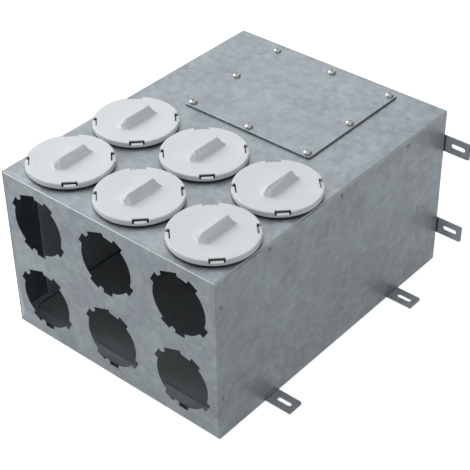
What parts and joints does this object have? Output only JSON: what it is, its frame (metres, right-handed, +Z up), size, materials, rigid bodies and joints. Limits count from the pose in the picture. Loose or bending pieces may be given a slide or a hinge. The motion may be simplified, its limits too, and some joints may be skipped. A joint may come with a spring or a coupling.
{
  "type": "duct plenum box",
  "caption": "Galvanised sheet-metal air plenum box with notched duct ports in front, twist-off bayonet caps and an access plate on top, slotted mounting straps and a round rear spigot.",
  "frame": {"origin": "bottom centre of the bounding box, on the surface that the base straps stand on", "axes": "+Y from the front face with the duct ports towards the rear spigot, +X to the right seen from the front, +Z up"},
  "size_m": [0.414, 0.502, 0.2543],
  "materials": {
    "galvanised_steel": "satin",
    "plate_steel": "satin",
    "strap_steel": "satin",
    "zinc_fastener": "satin",
    "rivet_alloy": "satin",
    "cap_plastic": "satin",
    "seal_rubber": "matte",
    "gasket_foam": "matte",
    "lining_foam": "matte"
  },
  "bodies": {
    "box": {"front_panel": "galvanised_steel", "top_panel": "galvanised_steel", "base_panel": "galvanised_steel", "side_wrap": "galvanised_steel", "access_plate": "plate_steel", "access_gasket": "gasket_foam", "access_screws": "zinc_fastener", "access_nuts": "zinc_fastener", "left_rivets": "rivet_alloy", "right_rivets": "rivet_alloy", "rear_rivets": "rivet_alloy", "spigot_rivets": "rivet_alloy", "main_spigot": "galvanised_steel", "left_lining": "lining_foam", "right_lining": "lining_foam", "base_lining": "lining_foam", "rear_lining": "lining_foam", "base_strap_front_left": "strap_steel", "base_strap_front_right": "strap_steel", "base_strap_rear_left": "strap_steel", "base_strap_rear_right": "strap_steel", "rear_strap_low_left": "strap_steel", "rear_strap_low_right": "strap_steel", "rear_strap_high_left": "strap_steel", "rear_strap_high_right": "strap_steel"},
    "front_left_cap": {"cap_front_left": "cap_plastic", "seal_front_left": "seal_rubber"},
    "front_middle_cap": {"cap_front_middle": "cap_plastic", "seal_front_middle": "seal_rubber"},
    "front_right_cap": {"cap_front_right": "cap_plastic", "seal_front_right": "seal_rubber"},
    "rear_left_cap": {"cap_rear_left": "cap_plastic", "seal_rear_left": "seal_rubber"},
    "rear_middle_cap": {"cap_rear_middle": "cap_plastic", "seal_rear_middle": "seal_rubber"},
    "rear_right_cap": {"cap_rear_right": "cap_plastic", "seal_rear_right": "seal_rubber"}
  },
  "joints": [
    {"name": "front_left_cap_twist", "type": "hinge", "parent": "box", "child": "front_left_cap", "pos_m": [-0.114, -0.1895, 0.2355], "axis": [0, 0, 1], "range_deg": [0, 30]},
    {"name": "front_middle_cap_twist", "type": "hinge", "parent": "box", "child": "front_middle_cap", "pos_m": [0, -0.1895, 0.2355], "axis": [0, 0, 1], "range_deg": [0, 30]},
    {"name": "front_right_cap_twist", "type": "hinge", "parent": "box", "child": "front_right_cap", "pos_m": [0.114, -0.1895, 0.2355], "axis": [0, 0, 1], "range_deg": [0, 30]},
    {"name": "rear_left_cap_twist", "type": "hinge", "parent": "box", "child": "rear_left_cap", "pos_m": [-0.114, -0.0755, 0.2355], "axis": [0, 0, 1], "range_deg": [0, 30]},
    {"name": "rear_middle_cap_twist", "type": "hinge", "parent": "box", "child": "rear_middle_cap", "pos_m": [0, -0.0755, 0.2355], "axis": [0, 0, 1], "range_deg": [0, 30]},
    {"name": "rear_right_cap_twist", "type": "hinge", "parent": "box", "child": "rear_right_cap", "pos_m": [0.114, -0.0755, 0.2355], "axis": [0, 0, 1], "range_deg": [0, 30]}
  ]
}
